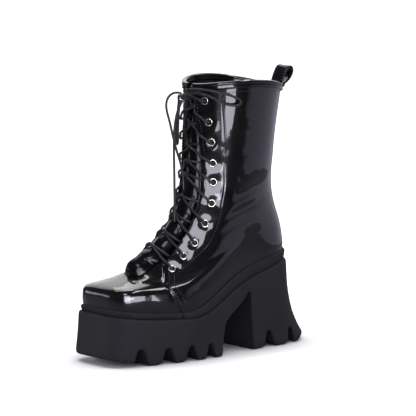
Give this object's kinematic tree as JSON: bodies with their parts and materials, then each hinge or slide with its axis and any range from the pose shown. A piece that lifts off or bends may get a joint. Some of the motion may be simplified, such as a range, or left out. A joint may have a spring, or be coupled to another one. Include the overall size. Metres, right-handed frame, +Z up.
{
  "type": "lace-up platform boot",
  "caption": "Empty mid-calf lace-up boot with a square toe, a glossy hollow upper, a lugged platform and a flared block heel.",
  "frame": {"origin": "on the floor under the middle of the heel's tread, where the heel rests", "axes": "+Z up, -Y towards the toe, +X towards the outer side of this left boot"},
  "size_m": [0.1045, 0.2825, 0.3042],
  "materials": {
    "patent_leather": "high-gloss patent",
    "sole_rubber": "matte moulded",
    "lining": "soft matte",
    "lace_cord": "waxed round cord",
    "eyelet_metal": "polished nickel plate"
  },
  "bodies": {
    "root": {"back_stay": "patent_leather", "bow_knot": "lace_cord", "bow_loop_inner": "lace_cord", "bow_loop_outer": "lace_cord", "collar_binding": "patent_leather", "eyelet_inner_1": "eyelet_metal", "eyelet_inner_10": "eyelet_metal", "eyelet_inner_2": "eyelet_metal", "eyelet_inner_3": "eyelet_metal", "eyelet_inner_4": "eyelet_metal", "eyelet_inner_5": "eyelet_metal", "eyelet_inner_6": "eyelet_metal", "eyelet_inner_7": "eyelet_metal", "eyelet_inner_8": "eyelet_metal", "eyelet_inner_9": "eyelet_metal", "eyelet_outer_1": "eyelet_metal", "eyelet_outer_10": "eyelet_metal", "eyelet_outer_2": "eyelet_metal", "eyelet_outer_3": "eyelet_metal", "eyelet_outer_4": "eyelet_metal", "eyelet_outer_5": "eyelet_metal", "eyelet_outer_6": "eyelet_metal", "eyelet_outer_7": "eyelet_metal", "eyelet_outer_8": "eyelet_metal", "eyelet_outer_9": "eyelet_metal", "insole": "lining", "lace_crossing_1": "lace_cord", "lace_crossing_10": "lace_cord", "lace_crossing_2": "lace_cord", "lace_crossing_3": "lace_cord", "lace_crossing_4": "lace_cord", "lace_crossing_5": "lace_cord", "lace_crossing_6": "lace_cord", "lace_crossing_7": "lace_cord", "lace_crossing_8": "lace_cord", "lace_crossing_9": "lace_cord", "lace_end_long": "lace_cord", "lace_end_short": "lace_cord", "outsole": "sole_rubber", "pull_loop": "patent_leather", "tongue": "patent_leather", "upper": "patent_leather", "welt": "sole_rubber"}
  },
  "joints": []
}
